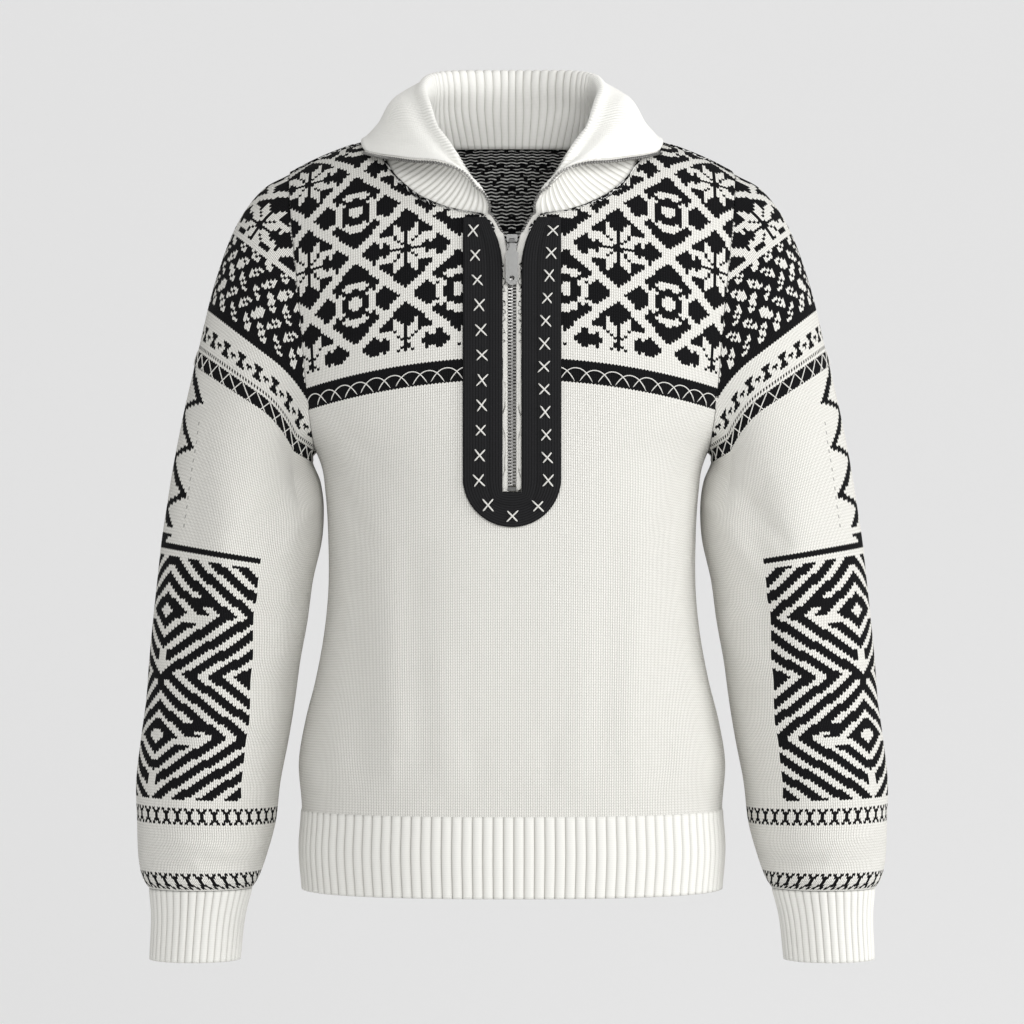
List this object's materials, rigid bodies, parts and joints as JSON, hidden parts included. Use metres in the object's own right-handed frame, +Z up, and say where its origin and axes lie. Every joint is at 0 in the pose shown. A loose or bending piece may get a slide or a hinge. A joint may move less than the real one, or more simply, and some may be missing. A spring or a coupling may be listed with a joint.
{
  "type": "fair isle half-zip sweater",
  "caption": "Long-sleeved knitted pullover with a turned-down rib collar, a short front zip in a U-shaped facing, rib cuffs and a rib hem, filled out as if worn.",
  "frame": {"origin": "between the shoulders, on the middle plane, level with the high part of the shoulder seams, where the wearer's shoulders carry the garment", "axes": "+Z up, -Y towards the front, +X towards the wearer's left"},
  "size_m": [0.636, 0.2271, 0.7614],
  "materials": {
    "ivory_knit": "ivory stocking-stitch wool with black fair isle bands and panels, soft matt nap",
    "ivory_rib": "ivory ribbed wool, matt",
    "black_knit": "fine black knit facing with off-white crosses sewn on",
    "zip_tape": "pale woven tape",
    "zip_metal": "silver-coloured metal, lightly brushed"
  },
  "bodies": {
    "garment": {"front": "ivory_knit", "back": "ivory_knit", "sleeve_right": "ivory_knit", "sleeve_left": "ivory_knit", "cuff_right": "ivory_rib", "cuff_left": "ivory_rib", "hem_rib": "ivory_rib", "collar": "ivory_rib", "placket": "black_knit", "zip_tape_right": "zip_tape", "zip_tape_left": "zip_tape", "zip_teeth_right": "zip_metal", "zip_teeth_left": "zip_metal", "zip_chain": "zip_metal", "zip_stop": "zip_metal", "slider": "zip_metal"},
    "pull_tab": {"pull_tab": "zip_metal"}
  },
  "joints": [
    {"name": "pull_tab_swing", "type": "hinge", "parent": "garment", "child": "pull_tab", "pos_m": [0, -0.10557, -0.08243], "axis": [-1, 0, 0], "range_deg": [0, 165]}
  ]
}
